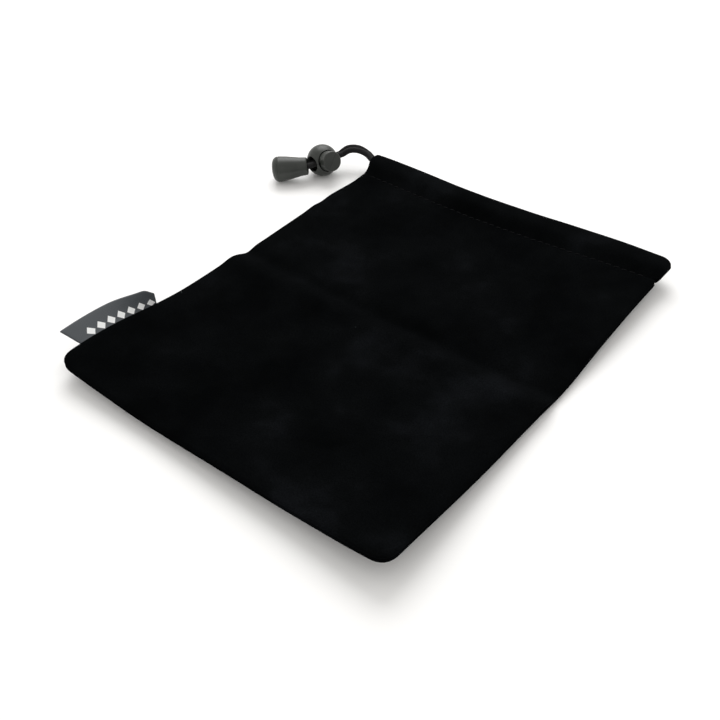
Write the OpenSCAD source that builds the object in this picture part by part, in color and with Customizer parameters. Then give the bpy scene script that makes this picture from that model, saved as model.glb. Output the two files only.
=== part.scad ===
// Soft drawstring pouch with a push-button cord lock and a bell-shaped cord end.
// X runs across the pouch, Y from the sewn bottom edge to the mouth, Z up.
// The origin is the middle of the pouch's underside, where it touches the table.

/* [Pouch] */
// Width between the two side seams
pouch_w = 130; // [90:1:180]
// Length from the bottom edge to the mouth
pouch_l = 164; // [120:1:220]
// Thickness of one ply of cloth
cloth_t = 0.75; // [0.5:0.05:1.2]
// Radius of the pouch's corners seen from above
corner_r = 5; // [2:0.5:10]
// Cloth turned inside along the side and bottom seams
seam_allowance = 6; // [3:0.5:10]
// Place of the fold crease, measured from the middle
crease_y = 2; // [-15:1:15]

/* [How it lies] */
// Length that lies flat on each side of the crease
flat_len = 18; // [10:1:30]
// Height of the mouth's underside above the table
mouth_rise = 3.5; // [1:0.5:6]
// Height of the bottom edge's underside above the table
bottom_rise = 3.5; // [1:0.5:6]

/* [Hem] */
// Depth of the hem from the mouth to its stitch line
hem_depth = 13; // [12:0.5:18]
// How far the hem stands out past the right side seam
hem_bulge = 1; // [0:0.5:2]
// Gap between the two hems at the mouth
mouth_gap = 0.2; // [0.1:0.05:0.6]

/* [Stitches] */
// Distance from one stitch to the next
stitch_pitch = 3; // [2.4:0.2:5]
// Length of one stitch
stitch_len = 2.1; // [1.2:0.1:2.2]
// Thickness of the sewing thread
thread_d = 0.4; // [0.3:0.05:0.5]

/* [Cord] */
// Diameter of the round draw cord
cord_d = 2.4; // [1.9:0.1:2.9]
// Clearance round the cord in the hem
cord_clear = 0.1; // [0.05:0.05:0.2]
// Distance in Y between the front and the back run of the cord
cord_stagger = 3.8; // [3.4:0.1:4.2]
// Gap between the two strands outside the hem
strand_gap = 0.3; // [0.1:0.05:0.4]

/* [Cord lock] */
// Diameter of the lock's ball
ball_d = 13; // [12.5:0.5:17]
// Clearance between the strands and the lock's cord hole
hole_clear = 0.65; // [0.3:0.05:0.7]
// Diameter of the push button
button_d = 8.1; // [7.6:0.1:8.6]
// Clearance round the button in its bore
button_clear = 0.35; // [0.15:0.05:0.5]
// How far the button stands out of the ball
button_proud = 2.5; // [2.2:0.1:3.5]
// How far the button can be pressed
press_travel = 1.8; // [1.4:0.1:2]
// Thickness of the ball's floor under the spring
ball_floor = 1.2; // [0.8:0.1:1.6]
// Straight length of the cord that the lock can slide along
lock_travel = 3; // [2:0.5:4]
// Thickness of the spring's wire
wire_d = 0.3; // [0.2:0.05:0.35]

/* [Bell] */
// Length of the bell-shaped cord end with its cap
bell_len = 14.6; // [13:0.1:18]
// Diameter of the bell's wide end
bell_d = 10.4; // [9.8:0.1:11]
// Diameter of the bell's neck
neck_d = 7.2; // [7:0.1:7.6]
// Wall of the bell
bell_wall = 0.6; // [0.45:0.05:0.8]
// Length of the cap that closes the wide end
cap_len = 2.6; // [2:0.1:3.5]
// Diameter of the knot inside the bell
knot_d = 5.6; // [5.2:0.1:6]

/* [Label] */
// Length of the woven label along the side seam
label_len = 30; // [20:1:40]
// How far the folded label stands out of the seam
label_out = 8; // [5:0.5:12]
// Thickness of the folded label's two plies
label_t = 0.6; // [0.4:0.1:0.8]
// Place of the label's middle along the seam
label_y = -57; // [-60:1:-35]
// Angle at which the label stands up from the seam
label_tilt = 45; // [0:5:60]

/* [Hidden] */
$fn = 64;

cloth_colour = [0.05, 0.05, 0.06];
thread_colour = [0.12, 0.12, 0.13];
label_colour = [0.28, 0.3, 0.32];
cord_colour = [0.04, 0.04, 0.04];
plastic_colour = [0.29, 0.31, 0.29];
steel_colour = [0.7, 0.7, 0.72];

// Pouch outline and layers. The four plies lie between z = 0 and 4 * cloth_t.
side_x = pouch_w / 2;
mouth_y = pouch_l / 2;
bottom_y = -pouch_l / 2;
hem_y = mouth_y - hem_depth;
seam_z = 2 * cloth_t;
profile_steps = 8;
groove = 0.5;
corner_fn = 48;
label_root = seam_allowance - 1.5;
label_clear = 0.2;
label_past_edge = 0.6;
trim_low = -5;
trim_h = 40;

// Height of the underside above the table at y
function ease(t) = t <= 0 ? 0 : min(t, 1) * min(t, 1);
function lift(y) = y > crease_y
    ? mouth_rise * ease((y - crease_y - flat_len) / (hem_y - crease_y - flat_len))
    : bottom_rise * ease((crease_y - flat_len - y) / (crease_y - flat_len - bottom_y));

// Hem: the two runs of the cord are staggered, so the hem stays thin
least_step = 0.2;
channel_r = cord_d / 2 + cord_clear;
cord_apart = max(cord_stagger + least_step, 2 * channel_r + 2 * cloth_t);
cord_step = sqrt(cord_apart * cord_apart - cord_stagger * cord_stagger);
fold_space = 1.45;
back_cord_y = mouth_y - cloth_t - channel_r - fold_space;
front_cord_y = back_cord_y - cord_stagger;
back_cord_z = mouth_rise + cloth_t + channel_r;
front_cord_z = back_cord_z + cord_step;
hem_top = front_cord_z + channel_r + cloth_t;
mid_cord = [0, (front_cord_y + back_cord_y) / 2, (front_cord_z + back_cord_z) / 2];
split_low = front_cord_z - channel_r - cloth_t;
split_high = back_cord_z + channel_r + cloth_t;
split_slope = cord_step / cord_stagger;
function split_at(z) = mid_cord[1] + (z - mid_cord[2]) * split_slope;
hem_ramp = 3.5;
edge_round = 0.8;
pocket_len = 9;
cord_end_x = -side_x + pocket_len;
turn_x = side_x - cloth_t - channel_r - cord_apart / 2;

// Cord lock: its own frame has Y along the cord hole and Z along the button's axis
table_clear = 0.1;
ball_out = 17;
ball_back = 16.1;
ball_r = ball_d / 2;
ball_centre = [-side_x - ball_out, mouth_y - ball_back, ball_r + table_clear];
lock_turn = -18.2;
lock_pitch = 1.5;
lock_roll = 69.3;
strand_off = (cord_d + strand_gap) / 2;
hole_r = strand_off + cord_d / 2 + hole_clear;
hole_z = 1;
button_r = button_d / 2;
bore_r = button_r + button_clear;
button_top = ball_r + button_proud;
well_floor = -ball_r + ball_floor;
slot_clear = 0.1;
slot_low = hole_z - strand_off - cord_d / 2 - slot_clear;
slot_high = hole_z + strand_off + cord_d / 2 + slot_clear + press_travel;
slot_r = 2.9;
foot_t = 0.7;
plunger_foot = slot_low - foot_t;
bore_floor = plunger_foot - press_travel - 0.1;
spring_r = 2.6;
well_r = spring_r + 0.4;
spring_turns = 3;
spring_gap = 0.03;

function turn_x_by(v, a) = [v[0], v[1] * cos(a) - v[2] * sin(a), v[1] * sin(a) + v[2] * cos(a)];
function turn_y_by(v, a) = [v[0] * cos(a) + v[2] * sin(a), v[1], v[2] * cos(a) - v[0] * sin(a)];
function turn_z_by(v, a) = [v[0] * cos(a) - v[1] * sin(a), v[0] * sin(a) + v[1] * cos(a), v[2]];
function in_lock(v) = ball_centre
    + turn_z_by(turn_x_by(turn_y_by(v, lock_roll), lock_pitch), lock_turn);

// Bell: its own frame has Z along the bell, from the neck to the cap
bell_r = bell_d / 2;
neck_r = neck_d / 2;
neck_tilt = 33;
neck_clear = 0.15;
bell_gap = neck_r * sin(neck_tilt) - ball_r
    + sqrt(pow(ball_r + neck_clear, 2) - pow(neck_r * cos(neck_tilt), 2) - hole_z * hole_z);
bell_start = in_lock([0, -(ball_r + bell_gap), hole_z]);
bell_dip = 90 + asin((bell_start[2] - bell_r - table_clear) / bell_len);
bell_heading = 219.2;
neck_bore = neck_r - bell_wall;
strand_entry_z = 0.3;
strand_end_z = 5.6;
strand_roll = 69;
cap_z = bell_len - cap_len;
cap_plug = 1;
cap_clear = 0.1;
knot_z = 7.6;
knot_r = knot_d / 2;

function in_bell(v) = bell_start + turn_z_by(turn_y_by(v, bell_dip), bell_heading);

// Routes of the two strands from the hem to the knot. The bends are measured from the place
// where the strand starts in the hem. The straight stretch through the lock and past it is
// where the lock slides.
straight_start = lock_travel + ball_r - 0.7;
straight_end = 1.5 - ball_r;
function strand_route(side, hem_start, bends) = concat(
    [hem_start, hem_start - [1, 0, 0]],
    [for (bend = bends) hem_start + bend],
    [for (along = [straight_start, straight_start / 2, 0, straight_end])
        in_lock([0, along, hole_z + side * strand_off])],
    [for (z = [strand_entry_z, strand_end_z])
        in_bell(side * strand_off * [-cos(strand_roll), sin(strand_roll), 0] + [0, 0, z])]
);
front_run = [cord_end_x, front_cord_y, front_cord_z];
back_run = [cord_end_x, back_cord_y, back_cord_z];
front_route = strand_route(1, front_run,
    [[-4, 0.9, 0], [-9, 3.0, 0], [-12.5, 3.8, 1.1], [-16, 2.8, 2.1], [-19.1, 0.9, 2]]);
back_route = strand_route(-1, back_run,
    [[-4, 0.4, 0.1], [-9, 1.3, 0.25], [-13.5, 2.3, 1.75], [-17.6, 1.1, 3.45],
        [-21.4, -1.3, 3.25]]);

// Route of the cord in the hem: along the front run, round the turn and along the back run
turn_steps = 12;
turn_centre = [turn_x, mid_cord[1], mid_cord[2]];
turn_out = unit([0, front_cord_y - back_cord_y, front_cord_z - back_cord_z]);
hem_route = concat(
    [front_run],
    [for (i = [0 : turn_steps])
        let (a = 180 * i / turn_steps)
        turn_centre + cord_apart / 2 * (cos(a) * turn_out + sin(a) * [1, 0, 0])],
    [back_run]
);

function unit(v) = v / norm(v);
function heading(route, i) = unit(route[min(i + 1, len(route) - 1)] - route[max(i - 1, 0)]);

// Tube of round section along a route
module tube(route, r, sides) {
    count = len(route);
    points = [
        for (i = [0 : count - 1])
            let (
                along = heading(route, i),
                across = unit(cross(along, [0, 0, 1])),
                up = cross(across, along)
            )
            for (k = [0 : sides - 1])
                route[i] + r * (cos(360 * k / sides) * across + sin(360 * k / sides) * up)
    ];
    walls = [
        for (i = [0 : count - 2])
            for (k = [0 : sides - 1])
                let (next = (k + 1) % sides)
                [i * sides + k, i * sides + next, (i + 1) * sides + next, (i + 1) * sides + k]
    ];
    start = [[for (k = [sides - 1 : -1 : 0]) k]];
    finish = [[for (k = [0 : sides - 1]) (count - 1) * sides + k]];
    polyhedron(points, concat(walls, start, finish));
}

// Layer of cloth between two heights above the underside, along y0..y1 and x0..x1
module layer(x0, x1, y0, y1, z0, z1, steps = profile_steps) {
    ys = [for (i = [0 : steps]) y0 + (y1 - y0) * i / steps];
    top = [for (i = [steps : -1 : 0]) [ys[i], lift(ys[i]) + z1]];
    translate([x0, 0, 0])
        rotate([90, 0, 90])
            linear_extrude(x1 - x0)
                polygon(concat([for (y = ys) [y, lift(y) + z0]], top));
}

// Straight bar along X with the given outline in Y and Z
module bar(x0, x1, outline) {
    translate([x0, 0, 0])
        rotate([90, 0, 90])
            linear_extrude(x1 - x0)
                polygon(outline);
}

// Plan outline of the pouch, cut to the stretch y0..y1 and tall enough to trim every layer
module plan(y0, y1, bulge = 0) {
    w = pouch_w + bulge;
    intersection() {
        translate([-side_x, y0, trim_low])
            cube([w, y1 - y0, trim_h]);
        translate([-side_x, bottom_y, trim_low])
            linear_extrude(trim_h) {
                translate([corner_r, 0])
                    square([w - 2 * corner_r, pouch_l]);
                translate([0, corner_r])
                    square([w, pouch_l - 2 * corner_r]);
                for (x = [corner_r, w - corner_r], y = [corner_r, pouch_l - corner_r])
                    translate([x, y])
                        circle(corner_r, $fn = corner_fn);
            }
    }
}

// Stretch y0..y1 of a layer of the bottom half, with the same steps as the half itself
module bottom_layer(x0, x1, y0, y1, z0, z1) {
    intersection() {
        layer(x0, x1, bottom_y, crease_y, z0, z1);
        translate([x0, y0, trim_low])
            cube([x1 - x0, y1 - y0, trim_h]);
    }
}

// One panel's outer ply between y0 and y1 with the turned-in allowance along its side seams
module panel_cloth(y0, y1, ply_z, allowance_z) {
    layer(-side_x, side_x, y0, y1, ply_z, ply_z + cloth_t);
    for (x = [-side_x, side_x - seam_allowance])
        layer(x, x + seam_allowance, y0, y1, allowance_z, allowance_z + cloth_t);
}

// The bottom half of a panel also has an allowance along the bottom seam
module bottom_cloth(ply_z, allowance_z) {
    intersection() {
        union() {
            panel_cloth(bottom_y, crease_y, ply_z, allowance_z);
            bottom_layer(-side_x, side_x, bottom_y, bottom_y + seam_allowance,
                allowance_z, allowance_z + cloth_t);
        }
        plan(bottom_y, crease_y);
    }
}

// Groove along the side seams from y0 to y1 that the stitches lie in
module side_grooves(y0, y1) {
    for (x = [-side_x - 1, side_x - groove])
        layer(x, x + groove + 1, y0, y1, seam_z - groove / 2, seam_z + groove / 2);
}

// Grooves of the bottom half and the label's slot
module bottom_cuts() {
    half_t = label_t / 2 + 0.05;
    side_grooves(bottom_y, crease_y);
    bottom_layer(-side_x, side_x, bottom_y, bottom_y + groove,
        seam_z - groove / 2, seam_z + groove / 2);
    bottom_layer(-side_x - 1, -side_x + label_root + label_clear,
        label_y - label_len / 2 - label_clear, label_y + label_len / 2 + label_clear,
        seam_z - half_t, seam_z + half_t);
}

// Space that the cord's turn and its way out need at both ends of the hem
module hem_pockets() {
    y0 = front_cord_y - channel_r;
    y1 = mouth_y - cloth_t;
    z0 = mouth_rise + cloth_t;
    z1 = hem_top - cloth_t;
    translate([-side_x - 1, y0, z0])
        cube([pocket_len + 1.5, y1 - y0, z1 - z0]);
    translate([turn_x - 0.5, y0, z0])
        cube([side_x - cloth_t - turn_x + 0.5, y1 - y0, z1 - z0]);
}

module channel(y, z) {
    translate([-side_x - 1, y, z])
        rotate([0, 90, 0])
            cylinder(h = turn_x + side_x + 2, r = channel_r);
}

module back_panel_bottom_half() {
    color(cloth_colour)
        difference() {
            bottom_cloth(0, cloth_t);
            bottom_cuts();
        }
}

module front_panel_bottom_half() {
    color(cloth_colour)
        difference() {
            bottom_cloth(3 * cloth_t, seam_z);
            bottom_cuts();
        }
}

module back_panel_mouth_half() {
    z = mouth_rise;
    gap = mouth_gap / 2;
    color(cloth_colour) {
        difference() {
            panel_cloth(crease_y, hem_y, 0, cloth_t);
            side_grooves(crease_y, hem_y);
        }
        difference() {
            intersection() {
                bar(-side_x, side_x + hem_bulge, [
                    [hem_y, z], [mouth_y - edge_round, z], [mouth_y, z + edge_round],
                    [mouth_y, split_high - gap], [split_at(split_high) + gap, split_high - gap],
                    [split_at(split_low) + gap, split_low - gap], [hem_y, z + seam_z - gap]]);
                plan(hem_y, mouth_y, hem_bulge);
            }
            channel(back_cord_y, back_cord_z);
            hem_pockets();
        }
    }
}

module front_panel_mouth_half() {
    z = mouth_rise;
    gap = mouth_gap / 2;
    color(cloth_colour) {
        difference() {
            panel_cloth(crease_y, hem_y, 3 * cloth_t, seam_z);
            side_grooves(crease_y, hem_y);
        }
        difference() {
            intersection() {
                bar(-side_x, side_x + hem_bulge, [
                    [hem_y, z + seam_z + gap], [split_at(split_low) - gap, split_low + gap],
                    [split_at(split_high) - gap, split_high + gap], [mouth_y, split_high + gap],
                    [mouth_y, hem_top - edge_round], [mouth_y - edge_round, hem_top],
                    [hem_y + hem_ramp, hem_top], [hem_y, z + 4 * cloth_t]]);
                plan(hem_y, mouth_y, hem_bulge);
            }
            channel(front_cord_y, front_cord_z);
            hem_pockets();
        }
    }
}

// Stitches of the side seams between y0 and y1, apart from where the label is
module side_stitches(y0, y1) {
    half = thread_d / 2;
    count = floor((y1 - y0) / stitch_pitch) - 1;
    for (side = [-1, 1], i = [0 : count]) {
        y = y0 + (i + 0.5) * stitch_pitch;
        beside_label = side > 0 || abs(y + stitch_len / 2 - label_y) > label_len / 2 + stitch_len;
        x = side > 0 ? side_x - groove + 0.05 : -side_x + groove - 0.05 - thread_d;
        if (beside_label)
            layer(x, x + thread_d, y, y + stitch_len, seam_z - half, seam_z + half, 1);
    }
}

module seam_thread_bottom_half() {
    half = thread_d / 2;
    count = floor((pouch_w - 2 * corner_r) / stitch_pitch) - 1;
    color(thread_colour) {
        side_stitches(bottom_y + corner_r, crease_y);
        for (i = [0 : count]) {
            x = -side_x + corner_r + (i + 0.5) * stitch_pitch;
            translate([x, bottom_y + 0.05, lift(bottom_y) + seam_z - half])
                cube([stitch_len, thread_d, thread_d]);
        }
    }
}

module seam_thread_mouth_half() {
    color(thread_colour)
        side_stitches(crease_y, hem_y);
}

// Row of stitches along the hem, each a half-round bead of thread lying on the cloth
module hem_row(z, face) {
    count = floor((pouch_w - 2 * corner_r) / stitch_pitch) - 1;
    for (i = [0 : count])
        translate([-side_x + corner_r + (i + 0.5) * stitch_pitch, hem_y - 0.6, z])
            rotate([90, 0, 90])
                linear_extrude(stitch_len)
                    intersection() {
                        circle(thread_d / 2, $fn = 24);
                        translate([-thread_d, face > 0 ? 0 : -thread_d])
                            square([2 * thread_d, thread_d]);
                    }
}

module front_hem_thread() {
    color(thread_colour)
        hem_row(mouth_rise + 4 * cloth_t, 1);
}

module back_hem_thread() {
    color(thread_colour)
        hem_row(lift(hem_y - 1), -1);
}

module woven_label() {
    y0 = label_y - label_len / 2;
    y1 = label_y + label_len / 2;
    slope = atan((lift(y1) - lift(y0)) / label_len);
    color(label_colour) {
        bottom_layer(-side_x - label_past_edge, -side_x + label_root, y0, y1,
            seam_z - label_t / 2, seam_z + label_t / 2);
        translate([-side_x - label_past_edge, y0, lift(y0) + seam_z - label_t / 2])
            rotate([slope, 0, 0])
                rotate([0, label_tilt, 0])
                    translate([-label_out, 0, 0])
                        cube([label_out, label_len / cos(slope), label_t]);
    }
}

module drawcord_in_hem() {
    color(cord_colour)
        tube(hem_route, cord_d / 2, 8);
}

module cord_tail_front() {
    color(cord_colour)
        tube(front_route, cord_d / 2, 8);
}

module cord_tail_back() {
    color(cord_colour)
        tube(back_route, cord_d / 2, 8);
}

module bell_frame() {
    translate(bell_start)
        rotate([0, bell_dip, bell_heading])
            children();
}

module cord_knot() {
    color(cord_colour)
        bell_frame()
            translate([0, 0, knot_z])
                rotate_extrude()
                    polygon([
                        [0, -0.9 * knot_r], [0.6 * knot_r, -0.85 * knot_r],
                        [0.95 * knot_r, -0.55 * knot_r], [knot_r, -0.25 * knot_r],
                        [0.85 * knot_r, 0], [knot_r, 0.25 * knot_r],
                        [0.95 * knot_r, 0.55 * knot_r], [0.6 * knot_r, 0.85 * knot_r],
                        [0, 0.9 * knot_r]]);
}

module bell_shell() {
    color(plastic_colour)
        bell_frame()
            rotate_extrude()
                polygon([
                    [neck_bore, 0], [neck_r - 0.3, 0], [neck_r, 0.4], [neck_r + 0.25, 3],
                    [bell_r - 0.35, 8.5], [bell_r, cap_z - 0.4], [bell_r - 0.15, cap_z],
                    [bell_r - bell_wall - 0.3, cap_z], [bell_r - bell_wall - 0.3, cap_z - 1.2],
                    [knot_d / 2 + 0.75, knot_z], [neck_bore, 2.5]]);
}

module bell_cap() {
    plug_r = bell_r - bell_wall - 0.3 - cap_clear;
    color(plastic_colour)
        bell_frame()
            rotate_extrude()
                polygon([
                    [0, cap_z - cap_plug], [plug_r, cap_z - cap_plug], [plug_r, cap_z],
                    [bell_r - 0.15, cap_z], [bell_r, cap_z + 0.2], [bell_r - 0.2, cap_z + 1],
                    [bell_r - 0.9, cap_z + 1.9], [bell_r - 2, bell_len - 0.2],
                    [bell_r - 3, bell_len], [0, bell_len]]);
}

module lock_frame() {
    translate(ball_centre)
        rotate([0, 0, lock_turn])
            rotate([lock_pitch, 0, 0])
                rotate([0, lock_roll, 0])
                    children();
}

module lock_body() {
    flare = 0.4;
    flare_len = 3 * flare;
    wall_y = sqrt(ball_r * ball_r - hole_r * hole_r);
    color(plastic_colour)
        lock_frame()
            difference() {
                sphere(ball_r, $fn = 96);
                translate([0, 0, bore_floor])
                    cylinder(h = 2 * ball_r, r = bore_r);
                translate([0, 0, well_floor])
                    cylinder(h = ball_r, r = well_r);
                translate([0, ball_r + 1, hole_z])
                    rotate([90, 0, 0])
                        cylinder(h = 2 * ball_r + 2, r = hole_r);
                for (side = [0, 180])
                    rotate([0, 0, side])
                        translate([0, wall_y - flare, hole_z])
                            rotate([-90, 0, 0])
                                cylinder(h = flare_len, r1 = hole_r, r2 = hole_r + flare_len);
            }
}

module lock_plunger() {
    round_r = 0.5;
    color(plastic_colour)
        lock_frame()
            difference() {
                rotate_extrude()
                    polygon([
                        [0, plunger_foot], [button_r, plunger_foot],
                        [button_r, button_top - round_r],
                        for (a = [15 : 15 : 75])
                            [button_r - round_r + round_r * cos(a),
                             button_top - round_r + round_r * sin(a)],
                        [button_r - round_r, button_top], [0, button_top]]);
                for (z = [slot_low + slot_r, slot_high - slot_r])
                    translate([0, button_r + 1, z])
                        rotate([90, 0, 0])
                            cylinder(h = 2 * button_r + 2, r = slot_r);
                translate([-slot_r, -button_r - 1, slot_low + slot_r])
                    cube([2 * slot_r, 2 * button_r + 2, slot_high - slot_low - 2 * slot_r]);
            }
}

module lock_spring() {
    steps = 16;
    low = well_floor + wire_d / 2 + spring_gap;
    high = plunger_foot - wire_d / 2 - spring_gap;
    count = spring_turns * steps;
    coil = [
        for (i = [0 : count])
            [spring_r * cos(360 * i / steps), spring_r * sin(360 * i / steps),
             low + (high - low) * i / count]
    ];
    color(steel_colour)
        lock_frame()
            tube(coil, wire_d / 2, 6);
}

back_panel_bottom_half();
back_panel_mouth_half();
front_panel_bottom_half();
front_panel_mouth_half();
seam_thread_bottom_half();
seam_thread_mouth_half();
front_hem_thread();
back_hem_thread();
woven_label();
drawcord_in_hem();
cord_tail_front();
cord_tail_back();
cord_knot();
bell_shell();
bell_cap();
lock_body();
lock_spring();
lock_plunger();
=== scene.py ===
# Black velvet drawstring pouch with a push-button cord lock and a bell-shaped cord end.
# Lengths are written in millimetres and turned into metres where meshes are made.
import bpy
import math
import random
from mathutils import Euler, Matrix, Vector, noise


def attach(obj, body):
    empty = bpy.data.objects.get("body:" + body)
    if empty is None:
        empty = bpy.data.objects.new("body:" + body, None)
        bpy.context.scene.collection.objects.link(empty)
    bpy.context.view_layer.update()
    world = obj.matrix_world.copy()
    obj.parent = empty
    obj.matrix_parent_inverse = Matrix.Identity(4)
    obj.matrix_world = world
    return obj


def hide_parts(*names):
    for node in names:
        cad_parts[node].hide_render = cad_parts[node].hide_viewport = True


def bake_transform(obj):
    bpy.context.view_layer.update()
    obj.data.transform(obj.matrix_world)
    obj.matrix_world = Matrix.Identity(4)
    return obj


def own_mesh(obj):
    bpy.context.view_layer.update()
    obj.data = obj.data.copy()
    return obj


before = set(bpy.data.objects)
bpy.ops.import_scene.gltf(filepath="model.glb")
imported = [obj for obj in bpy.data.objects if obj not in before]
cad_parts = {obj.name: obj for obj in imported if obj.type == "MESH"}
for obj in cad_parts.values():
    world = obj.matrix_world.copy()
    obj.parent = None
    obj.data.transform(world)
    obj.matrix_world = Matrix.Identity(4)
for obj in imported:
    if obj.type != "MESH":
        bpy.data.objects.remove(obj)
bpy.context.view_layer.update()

MM = 0.001
random.seed(7)

# ---------------------------------------------------------------- sizes, as the frame has them
POUCH_W = 130.0
POUCH_L = 164.0
CLOTH_T = 0.75
CREASE_Y = 2.0
HEM_DEPTH = 13.0
HEM_BULGE = 1.0
CORD_D = 2.4
STITCH_PITCH = 3.0
STITCH_LEN = 2.1
THREAD_D = 0.4
LABEL_Y = -57.0
LABEL_LEN = 30.0
LABEL_OUT = 8.0

SIDE_X = POUCH_W / 2
MOUTH_Y = POUCH_L / 2
BOTTOM_Y = -POUCH_L / 2
HEM_Y = MOUTH_Y - HEM_DEPTH
SEAM_Z = 2 * CLOTH_T
# A little thinner than the cloth, so that plies lying on each other don't cross
PLY = CLOTH_T * 0.93
CORD_R = CORD_D / 2

# Camera at the photograph's angle
CAMERA_AT = (0.1464, -0.1874, 0.1923)
CAMERA_TURN = (48.909, 1.175, 38.767)
CAMERA_LENS = 45.33


def add_object(name, data, body):
    obj = bpy.data.objects.new(name, data)
    bpy.context.collection.objects.link(obj)
    if body:
        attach(obj, body)
    return obj


def add_mesh(name, verts, faces, body, smooth=True):
    """Mesh object from vertices in millimetres."""
    mesh = bpy.data.meshes.new(name)
    mesh.from_pydata([Vector(v) * MM for v in verts], [], faces)
    mesh.update()
    for poly in mesh.polygons:
        poly.use_smooth = smooth
    return add_object(name, mesh, body)


def apply_modifiers(obj):
    depsgraph = bpy.context.evaluated_depsgraph_get()
    mesh = bpy.data.meshes.new_from_object(obj.evaluated_get(depsgraph))
    obj.modifiers.clear()
    obj.data = mesh


def thicken(obj, thickness, levels=1):
    """Give a middle surface the cloth's thickness, then subdivide it."""
    solid = obj.modifiers.new("thickness", "SOLIDIFY")
    solid.thickness = thickness * MM
    solid.offset = 0
    if levels:
        subdivision = obj.modifiers.new("subdivision", "SUBSURF")
        subdivision.levels = levels
        subdivision.render_levels = levels
    apply_modifiers(obj)


# ---------------------------------------------------------------- camera
camera_data = bpy.data.cameras.new("camera")
camera_data.lens = CAMERA_LENS
camera_data.sensor_width = 36.0
camera_data.clip_start = 0.01
camera = bpy.data.objects.new("camera", camera_data)
camera.location = CAMERA_AT
camera.rotation_euler = Euler([math.radians(a) for a in CAMERA_TURN])
bpy.context.collection.objects.link(camera)
bpy.context.scene.camera = camera


# ---------------------------------------------------------------- material helpers
def new_material(name):
    material = bpy.data.materials.new(name)
    material.use_nodes = True
    nodes = material.node_tree.nodes
    shader = nodes["Principled BSDF"]
    return material, nodes, material.node_tree.links, shader


def noise_node(nodes, links, coords, scale, detail=4.0, roughness=0.55):
    node = nodes.new("ShaderNodeTexNoise")
    node.inputs["Scale"].default_value = scale
    node.inputs["Detail"].default_value = detail
    node.inputs["Roughness"].default_value = roughness
    links.new(coords, node.inputs["Vector"])
    return node


def ramp_node(nodes, links, value, stops):
    """Colour ramp over (position, colour) stops."""
    node = nodes.new("ShaderNodeValToRGB")
    ramp = node.color_ramp
    while len(ramp.elements) < len(stops):
        ramp.elements.new(0.5)
    for element, (position, colour) in zip(ramp.elements, stops):
        element.position = position
        element.color = (*colour, 1.0)
    links.new(value, node.inputs["Fac"])
    return node


def mix_node(nodes, links, factor, a, b, kind="MIX"):
    node = nodes.new("ShaderNodeMix")
    node.data_type = "RGBA"
    node.blend_type = kind
    for socket, value in ((node.inputs["Factor"], factor), (node.inputs[6], a), (node.inputs[7], b)):
        if isinstance(value, bpy.types.NodeSocket):
            links.new(value, socket)
        else:
            socket.default_value = value
    return node.outputs[2]


def bump_node(nodes, links, height, strength, distance, normal=None):
    node = nodes.new("ShaderNodeBump")
    node.inputs["Strength"].default_value = strength
    node.inputs["Distance"].default_value = distance
    links.new(height, node.inputs["Height"])
    if normal:
        links.new(normal, node.inputs["Normal"])
    return node.outputs["Normal"]


def object_coords(nodes):
    return nodes.new("ShaderNodeTexCoord").outputs["Object"]


# ---------------------------------------------------------------- materials
def velvet_material():
    """Near-black velvet: short pile, soft lighter areas painted into the colour as the pile's sheen, and
    a few specks of lint.
    """
    material, nodes, links, shader = new_material("velvet")
    coords = object_coords(nodes)
    pile = noise_node(nodes, links, coords, 2600, 2)
    sheen_patch_noise = noise_node(nodes, links, coords, 32, 3, 0.6)
    # Lighter areas placed at random in the base colour: painted sheen, standing in for light caught by
    # the pile
    painted_sheen_patches = ramp_node(nodes, links, sheen_patch_noise.outputs["Fac"],
        [(0.35, (0.0006, 0.0008, 0.0009)), (0.56, (0.0017, 0.0020, 0.0022)),
         (0.76, (0.0046, 0.0052, 0.0062))])
    grains = ramp_node(nodes, links, pile.outputs["Fac"], [(0.3, (0.55,) * 3), (0.7, (1.35,) * 3)])
    coloured = mix_node(nodes, links, 1.0, painted_sheen_patches.outputs["Color"], grains.outputs["Color"], "MULTIPLY")
    cells = nodes.new("ShaderNodeTexVoronoi")
    cells.inputs["Scale"].default_value = 130
    links.new(coords, cells.inputs["Vector"])
    near = ramp_node(nodes, links, cells.outputs["Distance"], [(0.0, (1,) * 3), (0.034, (0,) * 3)])
    some = ramp_node(nodes, links, cells.outputs["Color"], [(0.74, (0,) * 3), (0.8, (1,) * 3)])
    lint = mix_node(nodes, links, 1.0, near.outputs["Color"], some.outputs["Color"], "MULTIPLY")
    coloured = mix_node(nodes, links, lint, coloured, (0.05, 0.06, 0.06, 1))
    links.new(coloured, shader.inputs["Base Color"])
    shader.inputs["Roughness"].default_value = 0.95
    shader.inputs["Specular IOR Level"].default_value = 0.01
    shader.inputs["Sheen Weight"].default_value = 0.05
    shader.inputs["Sheen Roughness"].default_value = 0.45
    shader.inputs["Sheen Tint"].default_value = (0.075, 0.085, 0.11, 1)
    rough_pile = bump_node(nodes, links, pile.outputs["Fac"], 0.5, 0.00015)
    soft = bump_node(nodes, links, sheen_patch_noise.outputs["Fac"], 0.35, 0.0012, rough_pile)
    links.new(soft, shader.inputs["Normal"])
    return material


def braid_material():
    """Matt black braided cord."""
    material, nodes, links, shader = new_material("braided_cord")
    coords = object_coords(nodes)
    fibres = noise_node(nodes, links, coords, 3000, 3)
    tone = ramp_node(nodes, links, fibres.outputs["Fac"],
        [(0.3, (0.005, 0.005, 0.0052)), (0.75, (0.017, 0.017, 0.0175))])
    links.new(tone.outputs["Color"], shader.inputs["Base Color"])
    shader.inputs["Roughness"].default_value = 0.8
    shader.inputs["Specular IOR Level"].default_value = 0.15
    shader.inputs["Sheen Weight"].default_value = 0.03
    links.new(bump_node(nodes, links, fibres.outputs["Fac"], 0.4, 0.0001), shader.inputs["Normal"])
    return material


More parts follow.
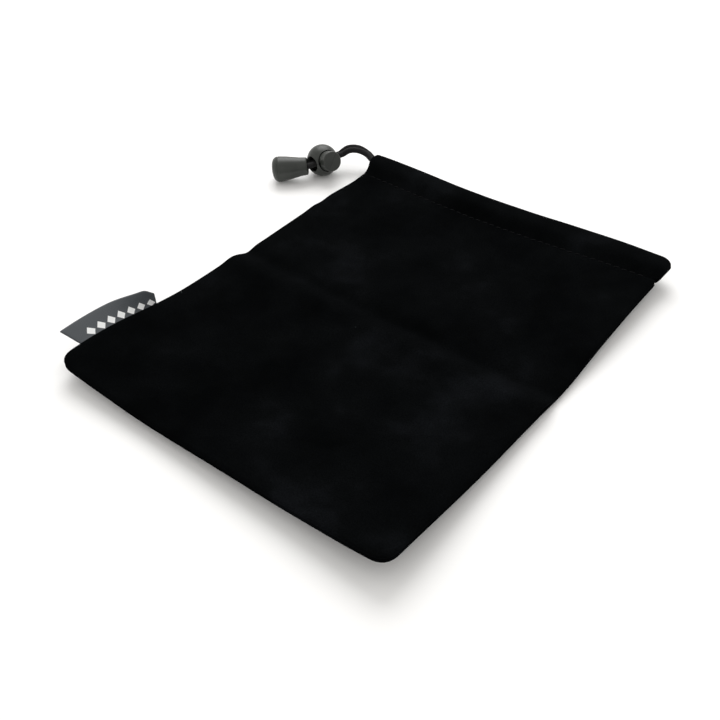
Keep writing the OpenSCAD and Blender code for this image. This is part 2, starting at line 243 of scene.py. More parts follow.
def thread_material():
    """Black sewing thread that nearly vanishes in the velvet."""
    material, nodes, links, shader = new_material("sewing_thread")
    coords = object_coords(nodes)
    twist = noise_node(nodes, links, coords, 4000, 2)
    tone = ramp_node(nodes, links, twist.outputs["Fac"],
        [(0.3, (0.0015, 0.0016, 0.0018)), (0.7, (0.004, 0.0044, 0.005))])
    links.new(tone.outputs["Color"], shader.inputs["Base Color"])
    shader.inputs["Roughness"].default_value = 0.7
    shader.inputs["Specular IOR Level"].default_value = 0.05
    links.new(bump_node(nodes, links, twist.outputs["Fac"], 0.4, 0.0001), shader.inputs["Normal"])
    return material


MOULD_LINE = 0.14


def plastic_material(name, line=None):
    """Dark grey moulded plastic with a fine satin grain. A line is (place, direction across it)."""
    material, nodes, links, shader = new_material(name)
    coords = object_coords(nodes)
    grain = noise_node(nodes, links, coords, 1800, 4)
    cloud = noise_node(nodes, links, coords, 160, 3)
    tone = ramp_node(nodes, links, cloud.outputs["Fac"],
        [(0.3, (0.020, 0.0235, 0.0205)), (0.7, (0.029, 0.0325, 0.0285))])
    colour = tone.outputs["Color"]
    if line:
        place, across = line
        offset = nodes.new("ShaderNodeVectorMath")
        offset.operation = "SUBTRACT"
        links.new(coords, offset.inputs[0])
        offset.inputs[1].default_value = place
        away = nodes.new("ShaderNodeVectorMath")
        away.operation = "DOT_PRODUCT"
        links.new(offset.outputs["Vector"], away.inputs[0])
        away.inputs[1].default_value = across
        width = nodes.new("ShaderNodeMath")
        width.operation = "ABSOLUTE"
        links.new(away.outputs["Value"], width.inputs[0])
        on_line = nodes.new("ShaderNodeMath")
        on_line.operation = "LESS_THAN"
        links.new(width.outputs[0], on_line.inputs[0])
        on_line.inputs[1].default_value = MOULD_LINE * MM
        colour = mix_node(nodes, links, on_line.outputs[0], colour, (0.014, 0.015, 0.014, 1))
    links.new(colour, shader.inputs["Base Color"])
    shine = ramp_node(nodes, links, grain.outputs["Fac"], [(0.3, (0.32,) * 3), (0.7, (0.44,) * 3)])
    links.new(shine.outputs["Color"], shader.inputs["Roughness"])
    shader.inputs["Specular IOR Level"].default_value = 0.4
    links.new(bump_node(nodes, links, grain.outputs["Fac"], 0.15, 0.00005), shader.inputs["Normal"])
    return material


def steel_material():
    """Drawn spring wire."""
    material, nodes, links, shader = new_material("spring_wire")
    coords = object_coords(nodes)
    drawn = noise_node(nodes, links, coords, 1500, 2)
    tone = ramp_node(nodes, links, drawn.outputs["Fac"], [(0.3, (0.45,) * 3), (0.7, (0.62,) * 3)])
    links.new(tone.outputs["Color"], shader.inputs["Base Color"])
    shader.inputs["Metallic"].default_value = 1.0
    shader.inputs["Roughness"].default_value = 0.3
    return material


def label_material():
    """Slate-grey woven ribbon with a row of white diamonds. U runs along the label, V outwards."""
    material, nodes, links, shader = new_material("woven_ribbon")
    uv = nodes.new("ShaderNodeTexCoord").outputs["UV"]
    split = nodes.new("ShaderNodeSeparateXYZ")
    links.new(uv, split.inputs[0])

    def math_node(kind, a, b=0.0):
        node = nodes.new("ShaderNodeMath")
        node.operation = kind
        for socket, value in zip(node.inputs, (a, b)):
            if isinstance(value, bpy.types.NodeSocket):
                links.new(value, socket)
            else:
                socket.default_value = value
        return node.outputs[0]

    along, out = split.outputs["X"], split.outputs["Y"]
    ribs = math_node("SINE", math_node("MULTIPLY", out, 2 * math.pi * 24))
    weft = math_node("SINE", math_node("MULTIPLY", along, 2 * math.pi * 90))
    weave = math_node("ADD", math_node("MULTIPLY", ribs, 0.6), math_node("MULTIPLY", weft, 0.4))
    # A row of diamonds: |fractional place along| + |place across| stays under the diamond's size
    count = 8
    place = math_node("FRACT", math_node("MULTIPLY", along, count))
    dx = math_node("ABSOLUTE", math_node("SUBTRACT", place, 0.5))
    dy = math_node("MULTIPLY", math_node("ABSOLUTE", math_node("SUBTRACT", out, 0.34)), 1.9)
    inside = math_node("LESS_THAN", math_node("ADD", dx, dy), 0.4)
    after_first = math_node("GREATER_THAN", along, 1 / count)
    before_end = math_node("LESS_THAN", along, 0.995)
    ends = math_node("MULTIPLY", after_first, before_end)
    motif = math_node("MULTIPLY", inside, ends)
    shade = ramp_node(nodes, links, weave, [(0.2, (0.028, 0.034, 0.041)), (0.8, (0.078, 0.091, 0.103))])
    colour = mix_node(nodes, links, motif, shade.outputs["Color"], (0.85, 0.86, 0.86, 1))
    links.new(colour, shader.inputs["Base Color"])
    shader.inputs["Roughness"].default_value = 0.55
    shader.inputs["Sheen Weight"].default_value = 0.15
    links.new(bump_node(nodes, links, weave, 0.5, 0.00012), shader.inputs["Normal"])
    return material


def floor_material():
    material, nodes, links, shader = new_material("floor")
    shader.inputs["Base Color"].default_value = (0.93, 0.93, 0.93, 1)
    shader.inputs["Roughness"].default_value = 1.0
    shader.inputs["Specular IOR Level"].default_value = 0.0
    return material


VELVET = velvet_material()
BRAID = braid_material()
THREAD = thread_material()
PLASTIC = plastic_material("moulded_plastic")
STEEL = steel_material()
RIBBON = label_material()


def finish_piece(obj, material):
    obj.data.materials.clear()
    obj.data.materials.append(material)


# ---------------------------------------------------------------- how the pouch lies
def clamp01(t):
    return max(0.0, min(1.0, t))


def smooth(t):
    t = clamp01(t)
    return t * t * (3 - 2 * t)


def profile(points, t):
    """Smooth curve through (place, height) points."""
    if t <= points[0][0]:
        return points[0][1]
    for i in range(len(points) - 1):
        (t0, h0), (t1, h1) = points[i], points[i + 1]
        if t <= t1:
            before = points[max(i - 1, 0)]
            after = points[min(i + 2, len(points) - 1)]
            m0 = (h1 - before[1]) / (t1 - before[0])
            m1 = (after[1] - h0) / (after[0] - t0)
            d = t1 - t0
            s = (t - t0) / d
            return ((2 * s**3 - 3 * s**2 + 1) * h0 + (s**3 - 2 * s**2 + s) * d * m0
                    + (3 * s**2 - 2 * s**3) * h1 + (s**3 - s**2) * d * m1)
    return points[-1][1]


# Height of the cloth's underside above the floor along each edge of the pouch
LEFT_EDGE = [(-82, 5.2), (-68, 5.3), (-56, 4.4), (-44, 2.6), (-30, 1.2), (-6, 0.9), (5, 0.0),
             (24, 0.3), (44, 0.8), (60, 1.8), (72, 2.8), (82, 3.1)]
RIGHT_EDGE = [(-82, 8.4), (-65, 6.3), (-50, 4.4), (-36, 3.0), (-17, 2.0), (-4, 1.1), (5, 0.3),
              (14, 0.6), (24, 2.0), (36, 3.2), (54, 4.4), (69, 4.6), (82, 4.2)]
BOTTOM_EDGE = [(-65, 5.2), (-48, 3.9), (-27, 2.9), (-7, 3.4), (5, 4.0), (28, 4.8), (44, 5.9),
               (54, 6.8), (65, 8.4)]
MOUTH_EDGE = [(-65, 3.1), (-56, 3.3), (-37, 2.7), (-12, 2.1), (8, 2.6), (27, 3.5), (45, 4.2), (65, 4.2)]
LEFT_REACH = 48.0
RIGHT_REACH = 60.0
BOTTOM_REACH = 58.0
MOUTH_REACH = 58.0


def fade(distance, reach):
    """1 at an edge, falling to 0 at its reach."""
    t = clamp01(1 - distance / reach)
    return t * t * (1.6 - 0.6 * t)


def under(x, y):
    """Height of the cloth's underside above the floor."""
    left = fade(x + SIDE_X, LEFT_REACH)
    right = fade(SIDE_X - x, RIGHT_REACH)
    bottom = fade(y - BOTTOM_Y, BOTTOM_REACH)
    mouth = fade(MOUTH_Y - y, MOUTH_REACH)
    h = (left * profile(LEFT_EDGE, y) + right * profile(RIGHT_EDGE, y)
         + bottom * profile(BOTTOM_EDGE, x) + mouth * profile(MOUTH_EDGE, x))
    h -= left * bottom * LEFT_EDGE[0][1] + right * bottom * RIGHT_EDGE[0][1]
    h -= left * mouth * LEFT_EDGE[-1][1] + right * mouth * RIGHT_EDGE[-1][1]
    return max(h, 0.0)


def left_pull(x, y):
    """How far the left edge is drawn in below the cord's exit from the hem."""
    return (2.3 * smooth((y - 46) / 20) * (1 - smooth((y - 71) / 7)) * smooth((-40 - x) / 25))


def edge_distance(x, y):
    return min(SIDE_X - abs(x), y - BOTTOM_Y, HEM_Y - y)


def hump(t, centre, width):
    return math.exp(-((t - centre) / width) ** 2)


def wrinkles(x, y, scale, seed):
    return noise.noise(Vector((x / scale, y / scale, seed)))


def front_dent(x, y):
    """How the front panel's surface departs from its seam height."""
    inner = smooth((edge_distance(x, y) - 3) / 16)
    sink = 0.75 * inner
    wobble = 1.2 * wrinkles(x, 0, 38, 3.1)
    ridge = 0.75 * hump(y, -5.5 + wobble, 4.0)
    valley = 0.95 * hump(y, 2.6 + wobble, 3.2)
    left_side = smooth((-x - 10) / 50)
    second = left_side * (0.35 * hump(y, 40, 3.5) - 0.45 * hump(y, 45, 3.0))
    soft = 0.45 * wrinkles(x, y, 30, 0.4) + 0.16 * wrinkles(x, y, 12, 5.2)
    return -sink + ridge - valley + second + soft * smooth(edge_distance(x, y) / 14)


def back_dent(x, y):
    inner = smooth((edge_distance(x, y) - 3) / 16)
    return 0.3 * inner * (0.5 + wrinkles(x, y, 25, 8.3))


# ---------------------------------------------------------------- panels
CORNER_R = {-1: 4.8, 1: 3.8}
EDGE_IN = 1.5
ROLL = [(0.7, 0.05), (1.2, 0.2), (1.4, 0.42), (1.2, 0.64), (0.6, 0.75), (-0.7, 0.75),
        (-2.2, 0.75), (-3.6, 0.75)]


def plan_point(x, y):
    """Round the two bottom corners of the plan. Both lengths are measured to the roll's start."""
    side = 1 if x > 0 else -1
    r = CORNER_R[side] - EDGE_IN
    half, low = SIDE_X - EDGE_IN, BOTTOM_Y + EDGE_IN
    a = (abs(x) - (half - r)) / r
    b = (low + r - y) / r
    if a <= 0 or b <= 0:
        return x, y
    a, b = min(a, 1), min(b, 1)
    return (side * (half - r + r * a * math.sqrt(1 - b * b / 2)),
            low + r - r * b * math.sqrt(1 - a * a / 2))


def spread(lowest, highest, step, fine=None, fine_step=None):
    """Evenly spread values, closer together over the stretch fine."""
    values = [lowest]
    while values[-1] < highest - 1e-6:
        here = values[-1]
        d = fine_step if fine and fine[0] <= here < fine[1] else step
        values.append(min(here + d, highest))
    return values


def panel(name, face, dent, nodes):
    """One panel of the pouch. Face is 1 for the front, -1 for the back."""
    half = SIDE_X - EDGE_IN
    low, high = BOTTOM_Y + EDGE_IN, HEM_Y + 0.4
    count_x = 62
    xs = [-half + 2 * half * i / count_x for i in range(count_x + 1)]
    ys = spread(low, high, 2.2, (-14, 13), 1.1)
    middle = SEAM_Z + face * 1.5 * CLOTH_T
    verts, index = [], {}
    for j, y in enumerate(ys):
        for i, x in enumerate(xs):
            px, py = plan_point(x, y)
            px += left_pull(px, py)
            index[i, j] = len(verts)
            verts.append((px, py, under(px, py) + middle + dent(px, py)))
    faces = []
    for j in range(len(ys) - 1):
        for i in range(len(xs) - 1):
            faces.append((index[i, j], index[i + 1, j], index[i + 1, j + 1], index[i, j + 1]))
    last_i, last_j = len(xs) - 1, len(ys) - 1
    loop = ([index[0, j] for j in range(last_j, 0, -1)] + [index[i, 0] for i in range(last_i)]
            + [index[last_i, j] for j in range(last_j + 1)])
    normals = []
    for k in range(len(loop)):
        a = Vector(verts[loop[max(k - 1, 0)]])
        b = Vector(verts[loop[min(k + 1, len(loop) - 1)]])
        along = (b - a).xy.normalized()
        normals.append(Vector((along.y, -along.x)))
    ring = loop
    for d, drop in ROLL:
        new = []
        for k, base in enumerate(loop):
            x, y, z = verts[base]
            n = normals[k]
            new.append(len(verts))
            px, py = x + n.x * d, y + n.y * d
            verts.append((px, py, z + under(px, py) - under(x, y) - face * drop))
        for k in range(len(loop) - 1):
            faces.append((ring[k], new[k], new[k + 1], ring[k + 1]))
        ring = new
    if face < 0:
        faces = [tuple(reversed(f)) for f in faces]
    obj = add_mesh(name, verts, faces, None)
    thicken(obj, PLY)
    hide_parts(*nodes)
    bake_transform(obj)
    finish_piece(obj, VELVET)
    return obj


front = panel("front_panel", 1, front_dent, ["front_panel_bottom_half", "front_panel_mouth_half"])
back = panel("back_panel", -1, back_dent, ["back_panel_bottom_half", "back_panel_mouth_half"])


# ---------------------------------------------------------------- hems
# Sections of the cloth's middle surface, as (Y, height above the underside)
FRONT_TOP = [(68.7, 2.4), (69.4, 2.68), (70.5, 3.2), (71.9, 4.0), (73.3, 4.8), (74.8, 5.2),
             (77.0, 5.18), (79.2, 5.08), (80.8, 4.9), (81.5, 4.62), (81.35, 4.32), (80.6, 4.22)]
BACK_TOP = [(68.7, 0.62), (69.5, 0.45), (71.0, 0.38), (74.0, 0.36), (77.5, 0.38), (80.4, 0.5),
            (81.4, 0.95), (81.63, 1.7), (81.6, 2.7), (81.2, 3.45), (80.4, 3.72)]
FRONT_LINING = [(69.0, 1.95), (71.5, 1.9), (74.0, 1.92), (75.6, 2.2), (76.6, 2.9), (77.3, 3.7),
                (78.4, 4.25), (80.0, 4.35)]
BACK_LINING = [(69.0, 1.15), (72.0, 1.12), (74.6, 1.14), (76.2, 1.5), (77.1, 2.3), (77.8, 3.1),
               (78.9, 3.55), (80.2, 3.6)]
HEM_SEAM_Z = 3.0
CAP_START = 61.5
POCKET_END = -57.0
# The left end lies lower beside the place where the cord comes out
LEFT_END = -57.0
STITCH_RISE = 2.4
END_SINK = 0.4
PUFF = 0.35
HEM_STEP = 2.2


def hem_strip(name, section, x0, x1, capped):
    """Cloth of one section swept along X. A capped strip closes in a round end on the right."""
    if capped:
        xs = [(x, 1.0) for x in spread(x0, CAP_START, HEM_STEP)]
        reach = x1 - CAP_START
        steps = 8
        for k in range(1, steps + 1):
            a = math.radians(86 * k / steps)
            xs.append((CAP_START + reach * math.sin(a), math.cos(a)))
    else:
        xs = [(x, 1.0) for x in spread(x0, x1, HEM_STEP)]
    middle_y = 0.5 * (section[0][0] + MOUTH_Y)
    verts, faces = [], []
    for x, scale in xs:
        squeeze = 1 - 0.42 * (1 - scale)
        for y, z in section:
            py = middle_y + (y - middle_y) * squeeze
            open_end = smooth((LEFT_END - x) / 8) * (1 - smooth((y - 70) / 6))
            if z > STITCH_RISE:
                z -= END_SINK * (z - STITCH_RISE) * open_end
            if capped:
                loose = clamp01((y - HEM_Y) / 3) * clamp01((MOUTH_Y - y) / 2)
                z += PUFF * wrinkles(x, y, 16, 2.2) * loose
            height = under(x, py) + HEM_SEAM_Z + (z - HEM_SEAM_Z) * scale
            verts.append((x + left_pull(x, py), py, height))
    n = len(section)
    for i in range(len(xs) - 1):
        for k in range(n - 1):
            faces.append((i * n + k, (i + 1) * n + k, (i + 1) * n + k + 1, i * n + k + 1))
    obj = add_mesh(name, verts, faces, "mouth_half")
    thicken(obj, PLY)
    finish_piece(obj, VELVET)
    return obj


hem_end = SIDE_X + HEM_BULGE - CLOTH_T / 2
front_hem = hem_strip("front_hem", FRONT_TOP, -SIDE_X, hem_end, True)
back_hem = hem_strip("back_hem", BACK_TOP, -SIDE_X, hem_end, True)
front_lining = hem_strip("front_hem_lining", FRONT_LINING, POCKET_END, CAP_START, False)
back_lining = hem_strip("back_hem_lining", BACK_LINING, POCKET_END, CAP_START, False)


# ---------------------------------------------------------------- tubes: cord, thread and wire
def frames_along(path):
    """Tangent and two cross directions at each point, without twist."""
    tangents = []
    for i in range(len(path)):
        tangents.append((path[min(i + 1, len(path) - 1)] - path[max(i - 1, 0)]).normalized())
    up = Vector((0, 0, 1)) if abs(tangents[0].z) < 0.9 else Vector((1, 0, 0))
    across = tangents[0].cross(up).normalized()
    frames = []
    for t in tangents:
        across = (across - t * across.dot(t)).normalized()
        frames.append((t, across, t.cross(across)))
    return frames


def curve_through(points, per_span):
    """Catmull-Rom curve through the points."""
    points = [Vector(p) for p in points]
    result = []
    for i in range(len(points) - 1):
        p0, p1, p2 = points[max(i - 1, 0)], points[i], points[i + 1]
        p3 = points[min(i + 2, len(points) - 1)]
        for k in range(per_span):
            t = k / per_span
            result.append(0.5 * ((2 * p1) + (p2 - p0) * t + (2 * p0 - 5 * p1 + 4 * p2 - p3) * t * t
                                 + (3 * p1 - p0 - 3 * p2 + p3) * t**3))
    result.append(points[-1])
    return result


def even_path(path, step):
    """The same path with points a step apart."""
    result, travelled = [path[0]], 0.0
    for a, b in zip(path, path[1:]):
        length = (b - a).length
        while travelled + length >= step:
            share = (step - travelled) / length
            a = a.lerp(b, share)
            result.append(a)
            length = (b - a).length
            travelled = 0.0
        travelled += length
    result.append(path[-1])
    return result


def tube(name, path, radius, sides, body, relief=None, round_ends=False):
    """Tube along a path in millimetres. Relief(angle, length along) scales the radius."""
    frames = frames_along(path)
    verts, faces = [], []
    travelled = 0.0
    total = sum((b - a).length for a, b in zip(path, path[1:]))
    for i, (p, (t, across, up)) in enumerate(zip(path, frames)):
        if i:
            travelled += (p - path[i - 1]).length
        r = radius
        if round_ends:
            to_end = min(travelled, total - travelled)
            if to_end < radius:
                r = radius * math.sqrt(max(0.04, 1 - (1 - to_end / radius) ** 2))
        for k in range(sides):
            a = 2 * math.pi * k / sides
            s = relief(a, travelled) if relief else 1.0
            verts.append(p + (across * math.cos(a) + up * math.sin(a)) * (r * s))
    for i in range(len(path) - 1):
        for k in range(sides):
            n = (k + 1) % sides
            faces.append((i * sides + k, i * sides + n, (i + 1) * sides + n, (i + 1) * sides + k))
    faces.append(tuple(range(sides - 1, -1, -1)))
    faces.append(tuple((len(path) - 1) * sides + k for k in range(sides)))
    return add_mesh(name, verts, faces, body)


BRAID_PITCH = 3.4
BRAID_STRANDS = 4


def braid_relief(angle, along):
    """Two crossing sets of yarns standing a little proud."""
    turn = 2 * math.pi * along / BRAID_PITCH
    one = abs(math.cos(BRAID_STRANDS * angle + turn))
    other = abs(math.cos(BRAID_STRANDS * angle - turn))
    return 0.92 + 0.08 * max(one, other)


# The lock's and the bell's own frames and the strands' routes, as in the part's source
BALL_R = 6.5
BALL_OUT, BALL_BACK, TABLE_CLEAR = 17.0, 16.1, 0.1
BALL_AT = Vector((-SIDE_X - BALL_OUT, MOUTH_Y - BALL_BACK, BALL_R + TABLE_CLEAR))
HOLE_Z = 1.0
STRAND_GAP = 0.3
STRAND_OFF = (CORD_D + STRAND_GAP) / 2
STRAND_ROLL = math.radians(69)
STRAND_ENTRY_Z, STRAND_END_Z = 0.3, 5.6
LOCK_TRAVEL = 3.0
BELL_LEN, BELL_R = 14.6, 5.2
NECK_R, NECK_TILT, NECK_CLEAR = 3.6, math.radians(33), 0.15
BELL_GAP = (NECK_R * math.sin(NECK_TILT) - BALL_R
            + math.sqrt((BALL_R + NECK_CLEAR)**2 - (NECK_R * math.cos(NECK_TILT))**2 - HOLE_Z**2))


def turned(y_angle, x_angle, z_angle):
    y, x, z = (math.radians(a) for a in (y_angle, x_angle, z_angle))
    return Matrix.Rotation(z, 3, "Z") @ Matrix.Rotation(x, 3, "X") @ Matrix.Rotation(y, 3, "Y")


LOCK_TURN = turned(69.3, 1.5, -18.2)
BELL_HEADING = 219.2


def in_lock(v):
    return BALL_AT + LOCK_TURN @ Vector(v)


BELL_AT = in_lock((0, -(BALL_R + BELL_GAP), HOLE_Z))
bell_dip = 90 + math.degrees(math.asin((BELL_AT.z - BELL_R - TABLE_CLEAR) / BELL_LEN))
BELL_TURN = turned(bell_dip, 0, BELL_HEADING)


def strand_route(side, hem_start, bends):
    start = Vector(hem_start)
    route = [start, start - Vector((1, 0, 0))] + [start + Vector(bend) for bend in bends]
    # The lock slides along the straight stretch, so a second point near its start keeps it straight
    straight = BALL_R - 0.7 + LOCK_TRAVEL
    route += [in_lock((0, along, HOLE_Z + side * STRAND_OFF))
              for along in (straight, straight - 1.2, straight / 2, 0, 1.5 - BALL_R)]
    across = side * STRAND_OFF * Vector((-math.cos(STRAND_ROLL), math.sin(STRAND_ROLL), 0))
    route += [BELL_AT + BELL_TURN @ (across + Vector((0, 0, z)))
              for z in (STRAND_ENTRY_Z, STRAND_END_Z)]
    return route


CORD_START_X = -56.0
FRONT_RUN = (74.7, 7.09)
BACK_RUN = (78.5, 5.55)
FRONT_ROUTE = strand_route(1, (CORD_START_X, *FRONT_RUN),
    [(-4, 0.9, 0), (-9, 3.0, 0), (-12.5, 3.8, 1.1), (-16, 2.8, 2.1), (-19.1, 0.9, 2)])
BACK_ROUTE = strand_route(-1, (CORD_START_X, *BACK_RUN),
    [(-4, 0.4, 0.1), (-9, 1.3, 0.25), (-13.5, 2.3, 1.75), (-17.6, 1.1, 3.45), (-21.4, -1.3, 3.25)])
STRAND_STEP = 0.16


def strand(name, route, node):
    path = even_path(curve_through(route, 12), STRAND_STEP)
    obj = tube(name, path, CORD_R, 32, "mouth_half", braid_relief)
    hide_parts(node)
    finish_piece(obj, BRAID)
    length = sum((b - a).length for a, b in zip(path, path[1:]))
    print("strand", name, round(length, 2))
    return obj, path, length


strand_front, front_path, front_length = strand("strand_front", FRONT_ROUTE, "cord_tail_front")
strand_back, back_path, back_length = strand("strand_back", BACK_ROUTE, "cord_tail_back")

# The cord inside the hems runs to the right end, turns and comes back
TURN_X = 60.9
PLAIN_LIFT = 3.5


def on_hem(x, y, z):
    """Let the cord inside the hem follow the hem's height."""
    follow = smooth((x - CORD_START_X) / 14)
    return Vector((x, y, z + (under(x, y) - PLAIN_LIFT) * follow))


run_xs = spread(CORD_START_X, TURN_X, 2.0)
hem_run = [on_hem(x, *FRONT_RUN) for x in run_xs]
turn_steps = 14
middle_y, middle_z = (FRONT_RUN[0] + BACK_RUN[0]) / 2, (FRONT_RUN[1] + BACK_RUN[1]) / 2
out_y, out_z = FRONT_RUN[0] - middle_y, FRONT_RUN[1] - middle_z
turn_r = math.hypot(out_y, out_z)
for k in range(1, turn_steps):
    a = math.pi * k / turn_steps
    hem_run.append(on_hem(TURN_X + turn_r * math.sin(a), middle_y + out_y * math.cos(a),
                          middle_z + out_z * math.cos(a)))
hem_run += [on_hem(x, *BACK_RUN) for x in reversed(run_xs)]
hem_cord = tube("drawcord", even_path(hem_run, 0.4), CORD_R, 20, "mouth_half", braid_relief)
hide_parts("drawcord_in_hem")
finish_piece(hem_cord, BRAID)


# ---------------------------------------------------------------- stitches
def joined(name, parts, body, material, nodes):
    """Join many small meshes into one piece."""
    verts, faces = [], []
    for part in parts:
        start = len(verts)
        verts += [v.co / MM for v in part.data.vertices]
        faces += [tuple(start + i for i in f.vertices) for f in part.data.polygons]
        bpy.data.objects.remove(part, do_unlink=True)
    obj = add_mesh(name, verts, faces, body)
    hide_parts(*nodes)
    finish_piece(obj, material)
    return obj


def stitch(a, b, sag):
    """One stitch between two points, dipping into the cloth at both ends."""
    a, b = Vector(a), Vector(b)
    steps = 10
    path = []
    for k in range(steps + 1):
        t = k / steps
        path.append(a.lerp(b, t) - sag * ((2 * t - 1) ** 4))
    return tube("stitch", path, THREAD_D / 2, 8, None, round_ends=True)


def hem_stitches(name, face, nodes):
    count = int((POUCH_W - 2 * 5) / STITCH_PITCH)
    parts = []
    for i in range(count):
        x = -SIDE_X + 5 + (i + 0.5) * STITCH_PITCH
        slant = 0.18 + 0.12 * random.uniform(-1, 1)
        y = HEM_Y - 0.25 + 0.1 * random.uniform(-1, 1)
        points = []
        for px, py in ((x, y - slant), (x + STITCH_LEN, y + slant)):
            if face > 0:
                z = under(px, py) + SEAM_Z + 2 * CLOTH_T + front_dent(px, py) + 0.06
            else:
                z = under(px, py) + back_dent(px, py) - 0.02
            points.append((px, py, z))
        parts.append(stitch(points[0], points[1], Vector((0, 0, face * 0.35))))
    return joined(name, parts, "mouth_half", THREAD, nodes)


hem_stitches("front_hem_stitches", 1, ["front_hem_thread"])
hem_stitches("back_hem_stitches", -1, ["back_hem_thread"])


def seam_stitches(name, y0, y1, body, nodes, with_bottom):
    """Stitches in the groove between the two panels."""
    parts = []
    inset = 0.8
    count = int((y1 - y0) / STITCH_PITCH)
    for side in (-1, 1):
        x = side * (SIDE_X - inset)
        for i in range(count):
            y = y0 + (i + 0.5) * STITCH_PITCH
            if side < 0 and abs(y + STITCH_LEN / 2 - LABEL_Y) < LABEL_LEN / 2 + STITCH_LEN:
                continue
            ends = [(x + left_pull(x, py), py, under(x, py) + SEAM_Z) for py in (y, y + STITCH_LEN)]
            parts.append(stitch(ends[0], ends[1], Vector((side * 0.3, 0, 0))))
    if with_bottom:
        y = BOTTOM_Y + inset
        for i in range(int((POUCH_W - 14) / STITCH_PITCH)):
            x = -SIDE_X + 7 + (i + 0.5) * STITCH_PITCH
            ends = [(px, y, under(px, y) + SEAM_Z) for px in (x, x + STITCH_LEN)]
            parts.append(stitch(ends[0], ends[1], Vector((0, -0.3, 0))))
    return joined(name, parts, body, THREAD, nodes)


seam_stitches("seam_stitches_bottom", BOTTOM_Y + 7, CREASE_Y - 1, "root",
              ["seam_thread_bottom_half"], True)
seam_stitches("seam_stitches_mouth", CREASE_Y + 1, HEM_Y - 0.5, "mouth_half",
              ["seam_thread_mouth_half"], False)


# ---------------------------------------------------------------- label
LABEL_TILT = [(0.0, 27), (0.35, 33), (0.6, 42), (0.85, 62), (1.0, 76)]
LABEL_SKEW = [(0.0, -2.9), (0.4, -0.7), (1.0, 0.4)]
LABEL_STRETCH = 1.0
PLY_T = 0.28
LABEL_INSIDE = 4.5


def label_section(s):
    """Middle line of the folded ribbon at one place along it, with the outward share of each point."""
    y = LABEL_Y + LABEL_LEN * (s - 0.5) + LABEL_STRETCH * s
    tilt = math.radians(profile(LABEL_TILT, s))
    skew = profile(LABEL_SKEW, s)
    reach = LABEL_OUT * (1 - 0.1 * smooth((s - 0.5) / 0.4) - 0.28 * smooth((s - 0.88) / 0.12) ** 2)
    steps = 14
    line = [(-SIDE_X + LABEL_INSIDE * u, 0.0) for u in (1.0, 0.5)]
    x, rise = -SIDE_X + 0.2, 0.0
    for k in range(steps + 1):
        w = k / steps
        bend = tilt * smooth(w * 3.0) + math.radians(6) * math.sin(w * math.pi)
        if k:
            x -= math.cos(bend) * reach / steps
            rise += math.sin(bend) * reach / steps
        line.append((x, rise))
    points = []
    for k, (x, rise) in enumerate(line):
        w = max(0, k - 2) / steps
        (ax, az), (bx, bz) = line[max(k - 1, 0)], line[min(k + 1, len(line) - 1)]
        along = Vector((bx - ax, bz - az)).normalized()
        height = under(max(x, -SIDE_X), y) + SEAM_Z + rise + 0.25 * math.sin(5 * s) * w
        points.append((Vector((x, y + skew * w, height)), Vector((along.y, 0, -along.x)),
                       Vector((along.x, 0, along.y)), w))
    return points


def woven_label():
    """Folded ribbon that stands up from the left seam: one ply out, round the fold and back."""
    along_steps = 36
    apart = PLY_T / 2 + 0.02
    verts, faces, uvs = [], [], []
    for i in range(along_steps + 1):
        s = i / along_steps
        section = label_section(s)
        tip, _, ahead, _ = section[-1]
        for p, normal, _, w in section:
            verts.append(p - normal * apart)
            uvs.append((s, w))
        verts.append(tip + ahead * apart)
        uvs.append((s, 1.0))
        for p, normal, _, w in reversed(section):
            verts.append(p + normal * apart)
            uvs.append((s, w))
        n = 2 * len(section) + 1
    for i in range(along_steps):
        for k in range(n - 1):
            faces.append((i * n + k, i * n + k + 1, (i + 1) * n + k + 1, (i + 1) * n + k))
    obj = add_mesh("woven_label_ribbon", verts, faces, "root")
    layer = obj.data.uv_layers.new(name="uv")
    for loop in obj.data.loops:
        layer.data[loop.index].uv = uvs[loop.vertex_index]
    thicken(obj, PLY_T)
    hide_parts("woven_label")
    finish_piece(obj, RIBBON)
    return obj


label = woven_label()

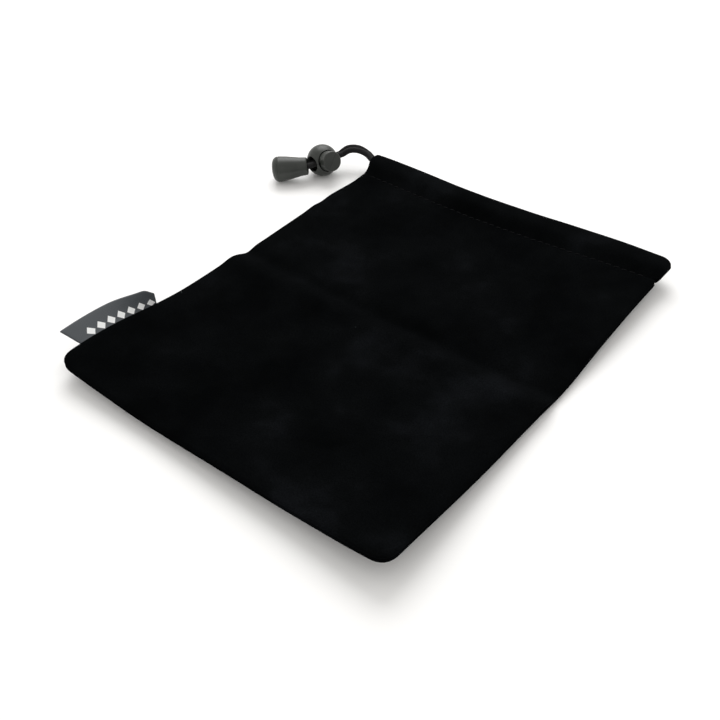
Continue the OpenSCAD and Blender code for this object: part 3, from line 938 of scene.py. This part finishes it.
# ---------------------------------------------------------------- carried-over CAD nodes
# A faint mould line crosses the button's face at a slant
BUTTON_TOP = 9.0
LINE_SLANT = 0.7
across_line = LOCK_TURN @ Vector((math.sin(LINE_SLANT), math.cos(LINE_SLANT), 0))
BUTTON = plastic_material("moulded_button", (in_lock((0, 0, BUTTON_TOP)) * MM, across_line))
NODE_LOOKS = {"lock_body": PLASTIC, "lock_plunger": BUTTON, "bell_shell": PLASTIC,
              "bell_cap": PLASTIC, "cord_knot": BRAID}
for node, material in NODE_LOOKS.items():
    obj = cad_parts[node]
    for slot in obj.material_slots:
        slot.material = material

# ---------------------------------------------------------------- spring
SPRING_R, SPRING_TURNS, WIRE_D = 2.6, 3, 0.3
SPRING_LOW, SPRING_HIGH = -5.12, -2.53
coil_steps = 28 * SPRING_TURNS
coil = []
for k in range(coil_steps + 1):
    a = 2 * math.pi * SPRING_TURNS * k / coil_steps
    coil.append(in_lock((SPRING_R * math.cos(a), SPRING_R * math.sin(a),
                         SPRING_LOW + (SPRING_HIGH - SPRING_LOW) * k / coil_steps)))
spring = tube("spring", coil, WIRE_D / 2, 10, "lock", round_ends=True)
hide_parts("lock_spring")
finish_piece(spring, STEEL)
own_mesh(spring)

# ---------------------------------------------------------------- floor, light
floor_mesh = bpy.data.meshes.new("floor")
FLOOR = 3.0
floor_mesh.from_pydata([(-FLOOR, -FLOOR, 0), (FLOOR, -FLOOR, 0), (FLOOR, FLOOR, 0), (-FLOOR, FLOOR, 0)],
                       [], [(0, 1, 2, 3)])
floor_mesh.materials.append(floor_material())
floor = add_object("floor", floor_mesh, None)


def area_light(name, place, target, size, power, colour=(1, 1, 1)):
    data = bpy.data.lights.new(name, "AREA")
    data.shape = "DISK"
    data.size = size
    data.energy = power
    data.color = colour
    obj = bpy.data.objects.new(name, data)
    obj.location = place
    obj.rotation_euler = (Vector(target) - Vector(place)).to_track_quat("-Z", "Y").to_euler()
    bpy.context.collection.objects.link(obj)


area_light("key", (-0.4, 0.5, 0.7), (0, 0, 0), 0.8, 5.5)

world = bpy.data.worlds.new("studio")
bpy.context.scene.world = world
world.use_nodes = True
world.node_tree.nodes["Background"].inputs["Color"].default_value = (1, 0.985, 0.96, 1)
world.node_tree.nodes["Background"].inputs["Strength"].default_value = 0.88
bpy.context.scene.view_settings.view_transform = "Standard"

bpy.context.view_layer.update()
